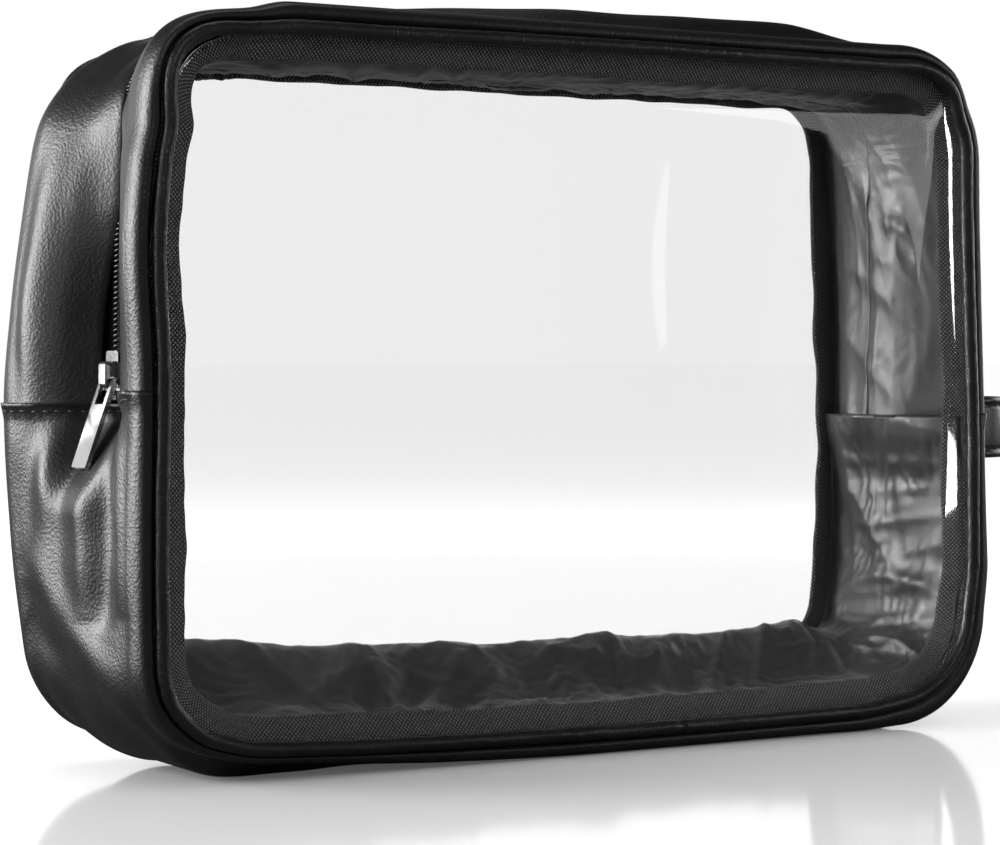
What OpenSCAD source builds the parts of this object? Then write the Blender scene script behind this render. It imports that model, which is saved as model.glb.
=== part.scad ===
// Clear-windowed makeup bag with a zipped upper gusset and a side grab handle.
// Millimetres. Origin: centre of the flat base. +Z up, +X to the handle end, -Y to the front window.

/* [Bag] */
// Width of a window panel, seam to seam
panel_w = 278; // [220:1:360]
// Height of a window panel, seam to seam
panel_h = 194; // [160:1:260]
// Corner radius of the seam line
panel_r = 28; // [20:1:40]
// Depth between the two window seams
bag_depth = 66; // [55:1:100]
// Thickness of the clear windows
window_t = 0.5; // [0.3:0.1:0.9]

/* [Leather and lining] */
// Thickness of the leather
leather_t = 1.2; // [0.8:0.1:1.8]
// How far the rolled gusset edge stands outside the seam line
roll_out = 4.5; // [3.5:0.5:8]
// Width of the rolled gusset edge before it dips to the zip
roll_w = 10; // [8:0.5:12]
// Thickness of the lining cloth
lining_t = 0.8; // [0.4:0.1:1.2]
// Width of the woven binding inside each window seam
binding_w = 10; // [6:0.5:14]
// Thickness of the woven binding
binding_t = 0.8; // [0.5:0.1:1.2]
// Height of the left seam that closes the zip end
left_seam_z = 98.8; // [80:0.1:102]
// Height of the right seam that closes the other zip end
right_seam_z = 93.3; // [80:0.1:105]
// Height of the folded hem along the top edge of the lower gusset
hem_h = 3.3; // [2.5:0.1:5]
// Length of the hollow below each side seam, where the gusset dips to meet the zip
dip_len = 20; // [20:1:26]

/* [Piping] */
// Outside diameter of the covered piping
piping_d = 4.4; // [3.6:0.1:5.4]
// Diameter of the cord inside the piping
piping_cord_d = 2.6; // [1.6:0.1:2.8]

/* [Zip] */
// Width of the gap between the two folded leather edges
zip_gap = 11; // [10.6:0.1:14]
// Depth of the tape's outer face below the seam line
tape_sink = 7.6; // [6:0.1:9]
// Thickness of the zip tape
tape_t = 0.5; // [0.3:0.1:0.8]
// Width of one zip tape
tape_w = 14; // [12:0.5:18]
// Width across both coils when closed
chain_w = 5.8; // [5:0.1:6.4]
// Gap between the coils, where the slider's wedge runs
chain_gap = 1.4; // [1.2:0.1:1.6]
// Height of the coils above the tape
coil_h = 2.2; // [1.8:0.1:2.6]
// Clearance of the slider round the coils and the tape
slider_clearance = 0.3; // [0.2:0.05:0.4]

/* [Slider and puller] */
// Height of the slider's middle above the base
slider_z = 106.8; // [106:0.1:115]
// Length of the slider along the zip
slider_len = 10.5; // [9:0.5:12]
// Width of the slider
slider_w = 9.6; // [9.4:0.1:10]
// Thickness of each slider plate
plate_t = 1.2; // [0.9:0.1:1.5]
// Width of the bridge that holds the puller
bridge_w = 3.6; // [3:0.1:4.4]
// Height of the bridge above the slider
bridge_h = 3; // [2.8:0.1:3.4]
// Length of the puller from its pivot to its free end
tab_len = 24.3; // [18:0.1:32]
// Width of the puller
tab_w = 7.8; // [7:0.1:9]
// Thickness of the puller
tab_t = 1.3; // [1:0.1:1.5]
// Length of the window in the puller
tab_window_len = 6.8; // [6.6:0.1:8]
// Lean of the puller away from the leather at rest, in degrees
tab_lean = 20; // [14:1:40]

/* [Handle] */
// Width of the grab handle
handle_w = 18.6; // [14:0.1:26]
// Thickness of the handle's face strap
handle_face_t = 1.6; // [1.2:0.1:2.4]
// Thickness of the handle's backing strap
handle_backing_t = 1; // [0.8:0.1:1.6]
// Distance from an end of the handle's outer face to the window seam
handle_inset = 5.8; // [5.5:0.1:8]
// Height of the handle's middle above the base
handle_z = 89.1; // [75:0.1:92]

/* [Stitching] */
// Length of one stitch
stitch_len = 2.6; // [2:0.1:3]
// Spacing of the stitches
stitch_pitch = 4; // [3.4:0.1:5]
// Thickness of the thread
thread_t = 0.5; // [0.3:0.1:0.7]

/* [Hidden] */
$fn = 48;

leather = "#1c1c1e";
chrome = "#d8d8dc";
half_w = panel_w / 2;
half_d = bag_depth / 2;
bottom_z = roll_out;
top_z = bottom_z + panel_h;
corner_x = half_w - panel_r;
corner_low = bottom_z + panel_r;
corner_high = top_z - panel_r;

// Depth (y) and outward offset (u) of the front half of the leather's section
skin_gap = 0.3;
lip_y = half_d + 1;
roll_back = half_d - roll_w;
hem_front = 10;
hem_t = 2.3;
dip_u = hem_t - tape_sink;
fold_y = zip_gap / 2;
tape_y = tape_w + chain_gap / 2;

// Offsets of the layers that lie under the leather
hem_in = -tape_sink;
coil_top = coil_h - tape_sink;
tape_in = -tape_sink - tape_t;
zip_lining_out = tape_in - 0.2;
lower_lining_out = dip_u - leather_t - 0.4;
lining_y = half_d - window_t - binding_t - skin_gap;

// Slider layers, outward offset from the seam line
plate_low = coil_top + slider_clearance;
plate_high = plate_low + plate_t;
back_high = tape_in - slider_clearance;
back_low = back_high - plate_t;
wedge_w = chain_gap - 0.4;
flange_in = chain_w / 2 + slider_clearance;
pivot_r = tab_t / 2;
pivot_u = plate_high + pivot_r + 0.35;
pivot_z = slider_z - 2.6;
bridge_wall = 0.9;
bridge_low = pivot_z - pivot_r - 0.45 - bridge_wall;
bridge_len = 7.2;
run_gap = 0.05;

function mirrored(points) = [for (p = points) [p[0], -p[1]]];

// Leather from the window seam over the roll to the zip fold; [u, y], front half
front_skin = [[0.3, -lip_y], [roll_out * 0.6, -lip_y + 0.6], [roll_out, -lip_y + 3],
    [roll_out, -roll_back], [dip_u, -hem_front], [dip_u, -fold_y], [hem_in, -fold_y],
    [hem_in, -hem_front + 0.5], [dip_u - leather_t, -hem_front - 0.5],
    [roll_out - leather_t, -roll_back - 0.4], [roll_out - leather_t, -lip_y + 3.4],
    [roll_out * 0.6 - leather_t * 0.7, -lip_y + 1.6], [0.3, -lip_y + leather_t]];

// Lower gusset sections: dipped beside the zip ends, flat round the base
dipped_skin = concat(
    [for (i = [0:4]) front_skin[i]], [for (i = [4:-1:0]) mirrored(front_skin)[i]],
    [for (i = [12:-1:8]) mirrored(front_skin)[i]], [for (i = [8:12]) front_skin[i]]);
flat_skin = concat(
    [for (i = [0:3]) front_skin[i]], [for (i = [3:-1:0]) mirrored(front_skin)[i]],
    [for (i = [12:-1:9]) mirrored(front_skin)[i]], [for (i = [9:12]) front_skin[i]]);
dip_closing = [[roll_out, -roll_back], [roll_out, roll_back], [dip_u - leather_t, hem_front],
    [dip_u - leather_t, -hem_front]];
hem_lift = 0.6;
hem_edge = [for (i = [2:4]) front_skin[i]];
hem_line = concat(hem_edge, [for (i = [2:-1:0]) mirrored(hem_edge)[i]]);
hem_section = concat([for (p = hem_line) p + [hem_lift, 0]],
    [for (i = [5:-1:0]) hem_line[i] - [hem_lift, 0]]);

// Straight runs of a section, by side
module right_run(z0, z1) { translate([half_w, 0, z0]) linear_extrude(z1 - z0) children(); }
module left_run(z0, z1) { translate([-half_w, 0, z1]) rotate([0, 180, 0]) linear_extrude(z1 - z0) children(); }
module top_run() { translate([corner_x, 0, top_z]) rotate([0, -90, 0]) linear_extrude(2 * corner_x) children(); }
module bottom_run() { translate([-corner_x, 0, bottom_z]) rotate([0, 90, 0]) linear_extrude(2 * corner_x) children(); }

// Quarter turns of a section: 0 bottom right, 1 bottom left, 2 top left, 3 top right
module corner(quarter) {
    side = quarter == 0 || quarter == 3 ? 1 : -1;
    z = quarter < 2 ? corner_low : corner_high;
    translate([side * corner_x, 0, z]) rotate([0, 90 * quarter, 0]) rotate([-90, 0, 0])
        rotate_extrude(angle = 90) translate([panel_r, 0]) children();
}
module upper_sweep(left_z, right_z) {
    left_run(left_z, corner_high) children();
    corner(2) children();
    top_run() children();
    corner(3) children();
    right_run(right_z, corner_high) children();
}
module ring_sweep() {
    left_run(corner_low, corner_high) children();
    right_run(corner_low, corner_high) children();
    top_run() children();
    bottom_run() children();
    for (quarter = [0:3]) corner(quarter) children();
}
module strip(u0, u1, y0, y1) { translate([u0, y0]) square([u1 - u0, y1 - y0]); }

// Flat outline of the panel, drawn inset from the seam line
module panel_outline(inset) {
    r = panel_r - inset;
    translate([-corner_x, bottom_z + inset]) square([2 * corner_x, panel_h - 2 * inset]);
    translate([-half_w + inset, corner_low]) square([panel_w - 2 * inset, corner_high - corner_low]);
    for (x = [-corner_x, corner_x], z = [corner_low, corner_high]) translate([x, z]) circle(r);
}
module panel_slab(y0, y1) { translate([0, y1, 0]) rotate([90, 0, 0]) linear_extrude(y1 - y0) children(); }
module back_of() { mirror([0, 1, 0]) children(); }

// Windows, piping and binding
module front_window() { color("#dfe6ea", 0.35) panel_slab(-half_d, -half_d + window_t) panel_outline(skin_gap); }
module back_window() { color("#dfe6ea", 0.35) back_of() panel_slab(-half_d, -half_d + window_t) panel_outline(skin_gap); }
module piping_at() { translate([-piping_d / 2, -half_d - piping_d / 2 - run_gap]) children(); }
module sleeve_section() {
    piping_at() difference() {
        circle(d = piping_d);
        circle(d = piping_cord_d + 2 * run_gap);
    }
}
module front_piping_sleeve() { color(leather) ring_sweep() sleeve_section(); }
module back_piping_sleeve() { color(leather) back_of() ring_sweep() sleeve_section(); }
module front_piping_cord() { color("ivory") ring_sweep() piping_at() circle(d = piping_cord_d); }
module back_piping_cord() { color("ivory") back_of() ring_sweep() piping_at() circle(d = piping_cord_d); }
module seam_binding() {
    panel_slab(-half_d + window_t, -half_d + window_t + binding_t) difference() {
        panel_outline(skin_gap);
        panel_outline(skin_gap + binding_w);
    }
}
module front_seam_binding() { color("#2a2a2c") seam_binding(); }
module back_seam_binding() { color("#2a2a2c") back_of() seam_binding(); }

// Gussets
module zip_gusset() { upper_sweep(left_seam_z, right_seam_z) polygon(front_skin); }
module front_zip_gusset() { color(leather) zip_gusset(); }
module back_zip_gusset() { color(leather) back_of() zip_gusset(); }
module lower_gusset() {
    color(leather) {
        left_run(corner_low, left_seam_z - dip_len) polygon(flat_skin);
        left_run(left_seam_z - dip_len, left_seam_z) polygon(dipped_skin);
        left_run(left_seam_z - dip_len - leather_t, left_seam_z - dip_len) polygon(dip_closing);
        left_run(left_seam_z - hem_h, left_seam_z) polygon(hem_section);
        right_run(corner_low, right_seam_z - dip_len) polygon(flat_skin);
        right_run(right_seam_z - dip_len, right_seam_z) polygon(dipped_skin);
        right_run(right_seam_z - dip_len - leather_t, right_seam_z - dip_len) polygon(dip_closing);
        right_run(right_seam_z - hem_h, right_seam_z) polygon(hem_section);
        corner(0) polygon(flat_skin);
        corner(1) polygon(flat_skin);
        bottom_run() polygon(flat_skin);
    }
}

// Linings
module zip_lining() {
    upper_sweep(left_seam_z + skin_gap, right_seam_z + skin_gap)
        strip(zip_lining_out - lining_t, zip_lining_out, -lining_y, -slider_w / 2 - 2);
}
module front_zip_lining() { color("#303034") zip_lining(); }
module back_zip_lining() { color("#303034") back_of() zip_lining(); }
module lining_section() { strip(lower_lining_out - lining_t, lower_lining_out, -lining_y, lining_y); }
module lower_lining() {
    color("#303034") {
        left_run(corner_low, left_seam_z) lining_section();
        right_run(corner_low, right_seam_z) lining_section();
        corner(0) lining_section();
        corner(1) lining_section();
        bottom_run() lining_section();
    }
}

// Zip tapes, coils and stops; the chain starts just above the left seam
stop_h = 1.1;
chain_left = left_seam_z + 0.3;
chain_right = right_seam_z + 0.3;
module zip_tape() {
    upper_sweep(chain_left, chain_right) strip(tape_in, -tape_sink, -tape_y, -chain_gap / 2);
}
module front_zip_tape() { color("#151515") zip_tape(); }
module back_zip_tape() { color("#151515") back_of() zip_tape(); }
module zip_coil() {
    upper_sweep(chain_left + stop_h, chain_right + stop_h)
        strip(-tape_sink, coil_top, -chain_w / 2, -chain_gap / 2);
}
module front_zip_coil() { color("#111111") zip_coil(); }
module back_zip_coil() { color("#111111") back_of() zip_coil(); }
module closed_end_stops() {
    color(chrome) left_run(chain_left, chain_left + stop_h) {
        strip(-tape_sink, coil_top, -chain_w / 2, -chain_gap / 2);
        strip(-tape_sink, coil_top, chain_gap / 2, chain_w / 2);
    }
}
module open_end_stop() {
    color(chrome) right_run(chain_right, chain_right + stop_h)
        strip(-tape_sink, coil_top, -chain_w / 2, chain_w / 2);
}

// Stitches beside the zip follow the two straight sides, the corners and the top
stitch_y = -fold_y - 2.2 - thread_t / 2;
side_first = max(left_seam_z, right_seam_z) + 2;
corner_steps = floor(PI / 2 * panel_r / stitch_pitch);
module zip_stitches() {
    upright = [thread_t, thread_t, stitch_len];
    level = [stitch_len, thread_t, thread_t];
    for (z = [side_first:stitch_pitch:corner_high - stitch_len]) {
        translate([half_w + dip_u, stitch_y, z]) cube(upright);
        translate([-half_w - dip_u - thread_t, stitch_y, z]) cube(upright);
    }
    for (x = [-corner_x:stitch_pitch:corner_x - stitch_len])
        translate([x, stitch_y, top_z + dip_u]) cube(level);
    for (side = [-1, 1], i = [0:corner_steps - 1])
        translate([side * corner_x, 0, corner_high]) rotate([0, side * (i + 0.5) * 90 / corner_steps, 0])
            translate([-stitch_len / 2, stitch_y, panel_r + dip_u]) cube(level);
}
module front_zip_stitches() { color("#050505") zip_stitches(); }
module back_zip_stitches() { color("#050505") back_of() zip_stitches(); }

// Stitches along the hem of the lower gusset, on the rolled and the dipped part of its section
module hem_stitch(side, u, y, z) {
    translate([side * (half_w + u + hem_lift) - (side < 0 ? thread_t : 0), y, z])
        cube([thread_t, stitch_len, thread_t]);
}
module hem_stitches(side, z) {
    for (y = [roll_back + 1:stitch_pitch:lip_y - 3 - stitch_len]) {
        hem_stitch(side, roll_out, y, z);
        hem_stitch(side, roll_out, -y - stitch_len, z);
    }
    for (y = [1 - hem_front:stitch_pitch:hem_front - stitch_len]) hem_stitch(side, dip_u, y, z);
}
stitch_drop = hem_h * 0.8;
module left_seam_stitches() { color("#050505") hem_stitches(-1, left_seam_z - stitch_drop); }
module right_seam_stitches() { color("#050505") hem_stitches(1, right_seam_z - stitch_drop); }

// Grab handle: an arch from the front roll to the back roll of the right gusset
handle_r = half_d - handle_inset;
handle_x = half_w + roll_out + hem_lift + thread_t;
backing_r = handle_r - handle_face_t;
stitch_angle = stitch_pitch / handle_r * 180 / PI;
module arch(r0, r1, w) {
    translate([handle_x, 0, handle_z]) rotate([0, 0, -90]) rotate_extrude(angle = 180)
        translate([r0, -w / 2]) square([r1 - r0, w]);
}
module handle_face() { color(leather) arch(backing_r, handle_r, handle_w); }
module handle_backing() { color("#242426") arch(backing_r - handle_backing_t, backing_r, handle_w - 1); }
module handle_stitches() {
    color("#050505") for (a = [-80:stitch_angle:80], side = [-1, 1])
        translate([handle_x, 0, handle_z + side * (handle_w / 2 - 2.2) - thread_t / 2]) rotate([0, 0, a])
            translate([handle_r, -stitch_len / 2, 0]) cube([thread_t, stitch_len, thread_t]);
}

// Slider on the left run; its own axes are outward offset (u), y and z
module on_left() { translate([-half_w, 0, 0]) mirror([1, 0, 0]) children(); }
// Extrudes an outline drawn in y and z between two outward offsets
module outward(u0, u1) { translate([u0, 0, 0]) rotate([90, 0, 90]) linear_extrude(u1 - u0) children(); }
// Extrudes an outline drawn in u and z across a width centred on y = 0
module across(w) { translate([0, w / 2, 0]) rotate([90, 0, 0]) linear_extrude(w) children(); }
module rounded(w, h, r) {
    translate([r, 0]) square([w - 2 * r, h]);
    translate([0, r]) square([w, h - 2 * r]);
    for (x = [r, w - r], y = [r, h - r]) translate([x, y]) circle(r);
}
module plate_outline() {
    neck_w = slider_w - 2.8;
    wing_len = slider_len * 0.72;
    translate([-slider_w / 2, -slider_len / 2]) rounded(slider_w, wing_len, 1.3);
    translate([-neck_w / 2, -slider_len / 2 + 1.5]) rounded(neck_w, slider_len - 1.5, 1);
}
module slider_body() {
    flange_w = slider_w / 2 - flange_in;
    flange_len = slider_len * 0.45;
    flange_z = -slider_len / 2 + 1.4;
    color(chrome) on_left() translate([0, 0, slider_z]) {
        outward(plate_low, plate_high) plate_outline();
        outward(back_low, back_high) plate_outline();
        for (y = [-slider_w / 2, flange_in])
            translate([0.2 - tape_sink, y, flange_z])
                cube([plate_low + tape_sink - 0.1, flange_w, flange_len]);
        translate([back_high - 0.1, -wedge_w / 2, 0.6 - slider_len / 2])
            cube([plate_low - back_high + 0.2, wedge_w, 2.4]);
    }
}
spring_w = 2;
spring_z = pivot_z + pivot_r + 1.3;
spring_len = 2.4;
spring_h = 1.2;
module slider_bridge() {
    eye_r = pivot_r + 0.35;
    color(chrome) on_left() difference() {
        intersection() {
            outward(plate_high, plate_high + bridge_h)
                translate([-bridge_w / 2, bridge_low]) rounded(bridge_w, bridge_len, bridge_w / 2 - 0.2);
            across(bridge_w + 2) translate([plate_high - 2, bridge_low]) rounded(bridge_h + 2, bridge_len, 1.3);
        }
        translate([pivot_u, 0, pivot_z]) rotate([90, 0, 0]) cylinder(r = eye_r, h = bridge_w + 2, center = true);
        translate([plate_high - 1, -bridge_w, pivot_z - eye_r]) cube([pivot_u - plate_high + 1, 2 * bridge_w, 2 * eye_r]);
        translate([plate_high, -spring_w / 2, spring_z]) cube([spring_h, spring_w, spring_len]);
    }
}
// Leaf spring that sits in the bridge's pocket and locks the coils when the puller lies down
module slider_lock_spring() {
    leaf = 0.3;
    color("#b8b8b0") on_left() translate([plate_high, -spring_w / 2 + 0.1, spring_z + 0.1]) {
        cube([leaf, spring_w - 0.2, spring_len - 0.2]);
        cube([spring_h - 0.1, spring_w - 0.2, leaf]);
    }
}
// Puller drawn hanging straight down from its pivot bar, then leaned outward
module puller_tab() {
    window_w = bridge_w + 1;
    bar_len = tab_w - 0.6;
    color(chrome) on_left() translate([pivot_u, 0, pivot_z]) rotate([0, -tab_lean, 0]) {
        rotate([90, 0, 0]) cylinder(r = pivot_r, h = bar_len, center = true);
        outward(-tab_t / 2, tab_t / 2) difference() {
            translate([-tab_w / 2, -tab_len]) rounded(tab_w, tab_len, 0.6);
            translate([-window_w / 2, -tab_window_len]) square([window_w, tab_window_len + 1]);
        }
    }
}

front_window();
back_window();
front_piping_sleeve();
back_piping_sleeve();
front_piping_cord();
back_piping_cord();
front_seam_binding();
back_seam_binding();
front_zip_gusset();
back_zip_gusset();
lower_gusset();
front_zip_lining();
back_zip_lining();
lower_lining();
front_zip_tape();
back_zip_tape();
front_zip_coil();
back_zip_coil();
closed_end_stops();
open_end_stop();
front_zip_stitches();
back_zip_stitches();
left_seam_stitches();
right_seam_stitches();
handle_face();
handle_backing();
handle_stitches();
slider_body();
slider_bridge();
slider_lock_spring();
puller_tab();
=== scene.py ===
"""Looks of a clear-windowed makeup bag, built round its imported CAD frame. Metres, +Z up."""
import math

import bmesh
import bpy
import numpy as np
from mathutils import Matrix, Vector


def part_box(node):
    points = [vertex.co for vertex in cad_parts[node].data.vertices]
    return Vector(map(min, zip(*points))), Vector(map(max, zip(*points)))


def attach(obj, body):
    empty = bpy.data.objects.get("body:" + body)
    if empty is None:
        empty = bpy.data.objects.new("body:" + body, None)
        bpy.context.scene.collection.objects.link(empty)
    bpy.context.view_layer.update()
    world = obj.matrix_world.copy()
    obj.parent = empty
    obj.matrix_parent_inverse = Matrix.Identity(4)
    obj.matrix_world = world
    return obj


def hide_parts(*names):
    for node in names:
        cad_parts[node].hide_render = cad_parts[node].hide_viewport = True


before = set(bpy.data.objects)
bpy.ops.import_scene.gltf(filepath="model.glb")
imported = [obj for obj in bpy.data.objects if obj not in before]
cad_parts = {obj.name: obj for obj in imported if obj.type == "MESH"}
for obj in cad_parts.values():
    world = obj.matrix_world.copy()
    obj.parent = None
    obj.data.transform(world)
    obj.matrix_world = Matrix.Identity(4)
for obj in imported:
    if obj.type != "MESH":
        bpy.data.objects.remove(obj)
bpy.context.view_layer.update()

MM = 0.001
RNG = np.random.default_rng(7)

# Seam line of the windows: its box is the piping's, and the CAD corner radius is 28 mm
SLEEVE_LOW, SLEEVE_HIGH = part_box("front_piping_sleeve")
HALF_W = (SLEEVE_HIGH[0] - SLEEVE_LOW[0]) / 2
LOW_Z, HIGH_Z = SLEEVE_LOW[2], SLEEVE_HIGH[2]
CORNER_R = 28 * MM
FRONT_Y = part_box("front_window")[0][1]
BACK_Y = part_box("back_window")[1][1]
DEPTH = BACK_Y - FRONT_Y
PIPING_R = 1.95 * MM

# Where the two side seams close the zip, at the top edge of the lower gusset
LEFT_SEAM_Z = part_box("left_seam_stitches")[1][2] + 2.2 * MM
RIGHT_SEAM_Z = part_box("right_seam_stitches")[1][2] + 2.2 * MM
HEM_H = 3.4 * MM
LINING_T = 0.35 * MM
FLOOR_EASE = 0.4 * MM  # how softly a sagging piece flattens on the floor
STITCH_PITCH, STITCH_STEP = 3.6 * MM, 1.5 * MM
WINDOW_T, WINDOW_DOME = 0.5 * MM, 2.4 * MM
STRIP_T, SHELL_T = 1.05 * MM, 1.1 * MM


# ---------- Seam line and sweeps ----------

def smooth(a, b, x):
    """0 below a, 1 above b, with a smooth turn between."""
    t = np.clip((np.asarray(x, float) - a) / (b - a), 0, 1)
    return t * t * (3 - 2 * t)


def bump(x, centre, width):
    """A smooth hill of height 1."""
    return np.exp(-(((np.asarray(x, float) - centre) / width) ** 2))


CX = HALF_W - CORNER_R
ARC = CORNER_R * math.pi / 2
SIDE = HIGH_Z - LOW_Z - 2 * CORNER_R
RUNS = np.cumsum([0, CX, ARC, SIDE, ARC, 2 * CX, ARC, SIDE, ARC, CX])
LOOP = RUNS[-1]


def keyed(s, stations):
    """A smooth curve through the values at stations [(s, value), ...], level beyond both ends."""
    at = np.array([p[0] for p in stations], float)
    values = np.array([p[1] for p in stations], float)
    slope = np.diff(values) / np.diff(at)
    bend = np.zeros(len(at))
    turns = slope[:-1] * slope[1:] > 0
    bend[1:-1] = np.where(turns, 2 * slope[:-1] * slope[1:] / np.where(turns, slope[:-1] + slope[1:], 1), 0)
    s = np.clip(np.asarray(s, float), at[0], at[-1])
    k = np.clip(np.searchsorted(at, s, side="right") - 1, 0, len(at) - 2)
    step = at[k + 1] - at[k]
    t = (s - at[k]) / step
    return (values[k] * (1 + 2 * t) * (1 - t) ** 2 + bend[k] * step * t * (1 - t) ** 2
            + values[k + 1] * t * t * (3 - 2 * t) + bend[k + 1] * step * t * t * (t - 1))


def seam_line(s):
    """Points and outward normals (x, z) at distance s from the bottom middle, clockwise from the front."""
    s = np.asarray(s, float) % LOOP
    k = np.clip(np.searchsorted(RUNS, s, side="right") - 1, 0, 8)
    t = s - RUNS[k]
    lo, hi = LOW_Z + CORNER_R, HIGH_Z - CORNER_R
    turn = t / CORNER_R
    a = np.choose(k, [0 * t, -math.pi / 2 - turn, 0 * t, math.pi - turn, 0 * t, math.pi / 2 - turn,
                      0 * t, -turn, 0 * t])
    arc_x = np.choose(k, [0, -CX, 0, -CX, 0, CX, 0, CX, 0])
    arc_z = np.choose(k, [0, lo, 0, hi, 0, hi, 0, lo, 0])
    x = np.choose(k, [-t, 0 * t, -HALF_W + 0 * t, 0 * t, -CX + t, 0 * t, HALF_W + 0 * t, 0 * t, CX - t])
    z = np.choose(k, [LOW_Z + 0 * t, 0 * t, lo + t, 0 * t, HIGH_Z + 0 * t, 0 * t, hi - t, 0 * t,
                      LOW_Z + 0 * t])
    nx = np.choose(k, [0, 0, -1, 0, 0, 0, 1, 0, 0]) + 0 * t
    nz = np.choose(k, [-1, 0, 0, 0, 1, 0, 0, 0, -1]) + 0 * t
    on_arc = k % 2 == 1
    x = np.where(on_arc, arc_x + CORNER_R * np.cos(a), x)
    z = np.where(on_arc, arc_z + CORNER_R * np.sin(a), z)
    nx = np.where(on_arc, np.cos(a), nx)
    nz = np.where(on_arc, np.sin(a), nz)
    return np.stack([x, z], -1), np.stack([nx, nz], -1)


def loop_stations(bottom_left, left, top_left, top_right, right, bottom_right):
    """Stations round the whole seam: (mm along the bottom, height or share of a corner; value)."""
    out = [(0, 0)] + [(at * MM, v) for at, v in bottom_left]
    out += [(s_at_left(z * MM), v) for z, v in left]
    out += [(RUNS[3] + share * ARC, v) for share, v in top_left]
    out += [(RUNS[5] + share * ARC, v) for share, v in top_right]
    out += [(s_at_right(z * MM), v) for z, v in right]
    out += [(LOOP - at * MM, v) for at, v in bottom_right] + [(LOOP, 0)]
    return out


def seam_shift(s, y):
    """How far the soft seam stands outside its straight CAD line, at depth y."""
    s = np.asarray(s, float) % LOOP
    f = np.clip((y - FRONT_Y) / DEPTH, 0, 1)
    return (keyed(s, FRONT_SHIFT) * (1 - f) + keyed(s, BACK_SHIFT) * f) * MM


def s_at_left(z):
    """Distance along the seam line to height z on the left side."""
    return RUNS[2] + (z - LOW_Z - CORNER_R)


def s_at_right(z):
    return RUNS[6] + (HIGH_Z - CORNER_R - z)


# How far (mm) each soft seam stands outside its straight CAD line
FRONT_SHIFT = loop_stations([(47, -0.6), (106, -2.7), (118, -3.4), (133, -1.3), (147, 0.9)],
                            [(60, 1.6), (104, 1.3), (138, 2.8), (160, 1.2)],
                            [(0.0, -0.6), (0.45, 3.0), (0.95, -1.2), (1.3, 0)],
                            [(-0.2, 0.3), (0.4, 1.2), (0.7, -1.8)],
                            [(160, -1.8), (130, -1.0), (84, 0.5), (50, 0.8), (31, -1.6)],
                            [(125, -3.7), (90, -0.3)])
BACK_SHIFT = loop_stations([(60, -0.3), (102, -3.2), (118, -4.2), (136, -1.6)],
                           [(34, 1.8), (62, 5.4), (98, 7.4), (125, 5.2), (148, 2.0), (166, -1.0)],
                           [(0.33, -5.4), (0.66, -6.6), (1.0, -4.6), (1.3, -1.4), (1.8, 0)],
                           [(-0.2, 0.2), (0.4, 1.0), (0.8, -0.8)],
                           [(160, -0.4), (100, 2.2), (50, 1.4), (31, -0.8)], [(125, -3.0), (90, -0.3)])
UPPER = (s_at_left(LEFT_SEAM_Z), s_at_right(RIGHT_SEAM_Z))
LOWER = (s_at_right(RIGHT_SEAM_Z), LOOP + s_at_left(LEFT_SEAM_Z))


def placed(s, u, y):
    """Points at outward offset u and depth y beside the seam line; s, u and y broadcast together."""
    s, u, y = np.broadcast_arrays(s, u, y)
    p, n = seam_line(s)
    u = u + seam_shift(s, y)
    z = p[..., 1] + n[..., 1] * u
    return np.stack([p[..., 0] + n[..., 0] * u, y, np.logaddexp(0, z / FLOOR_EASE) * FLOOR_EASE], -1)


def mesh_piece(name, points, faces, material, uv=None):
    """A closed, smooth-shaded mesh object with its faces turned outwards."""
    mesh = bpy.data.meshes.new(name)
    faces = faces.tolist() if isinstance(faces, np.ndarray) else faces
    mesh.from_pydata(np.asarray(points).reshape(-1, 3).tolist(), [], faces)
    if uv is not None:
        layer = mesh.uv_layers.new(name="UVMap")
        index = np.empty(len(mesh.loops), np.int32)
        mesh.loops.foreach_get("vertex_index", index)
        layer.data.foreach_set("uv", np.asarray(uv).reshape(-1, 2)[index].astype(np.float32).ravel())
    mesh.polygons.foreach_set("use_smooth", [True] * len(mesh.polygons))
    mesh.materials.append(material)
    mesh.update()
    piece = bpy.data.objects.new(name, mesh)
    bpy.context.scene.collection.objects.link(piece)
    shape = bmesh.new()
    shape.from_mesh(mesh)
    bmesh.ops.recalc_face_normals(shape, faces=shape.faces)
    shape.to_mesh(mesh)
    shape.free()
    return piece


def grid_faces(rows, columns, wrap_rows=False, wrap_columns=False):
    i = np.arange(rows if wrap_rows else rows - 1)[:, None]
    j = np.arange(columns if wrap_columns else columns - 1)[None, :]
    i1, j1 = (i + 1) % rows, (j + 1) % columns
    quads = np.stack([i * columns + j, i1 * columns + j, i1 * columns + j1, i * columns + j1], -1)
    return quads.reshape(-1, 4)


def slab_piece(name, outer, inner, material, uv=None):
    """A closed sheet between two grids of points, outer and inner, with its rim filled."""
    rows, columns = outer.shape[:2]
    count = rows * columns
    top = grid_faces(rows, columns)
    under = grid_faces(rows, columns)[:, ::-1] + count
    edge = np.concatenate([np.arange(columns), np.arange(1, rows) * columns + columns - 1,
                           (rows - 1) * columns + np.arange(columns - 2, -1, -1),
                           np.arange(rows - 2, 0, -1) * columns])
    after = np.roll(edge, -1)
    rim = np.stack([after, edge, edge + count, after + count], -1)
    points = np.concatenate([outer.reshape(-1, 3), inner.reshape(-1, 3)])
    if uv is not None:
        uv = np.concatenate([uv.reshape(-1, 2), uv.reshape(-1, 2)])
    return mesh_piece(name, points, np.concatenate([top, under, rim]), material, uv)


def normals_of(points):
    """Unit normals of a grid of points."""
    du = np.gradient(points, axis=0)
    dv = np.gradient(points, axis=1)
    n = np.cross(du, dv)
    return n / np.maximum(np.linalg.norm(n, axis=-1, keepdims=True), 1e-12)


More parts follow.
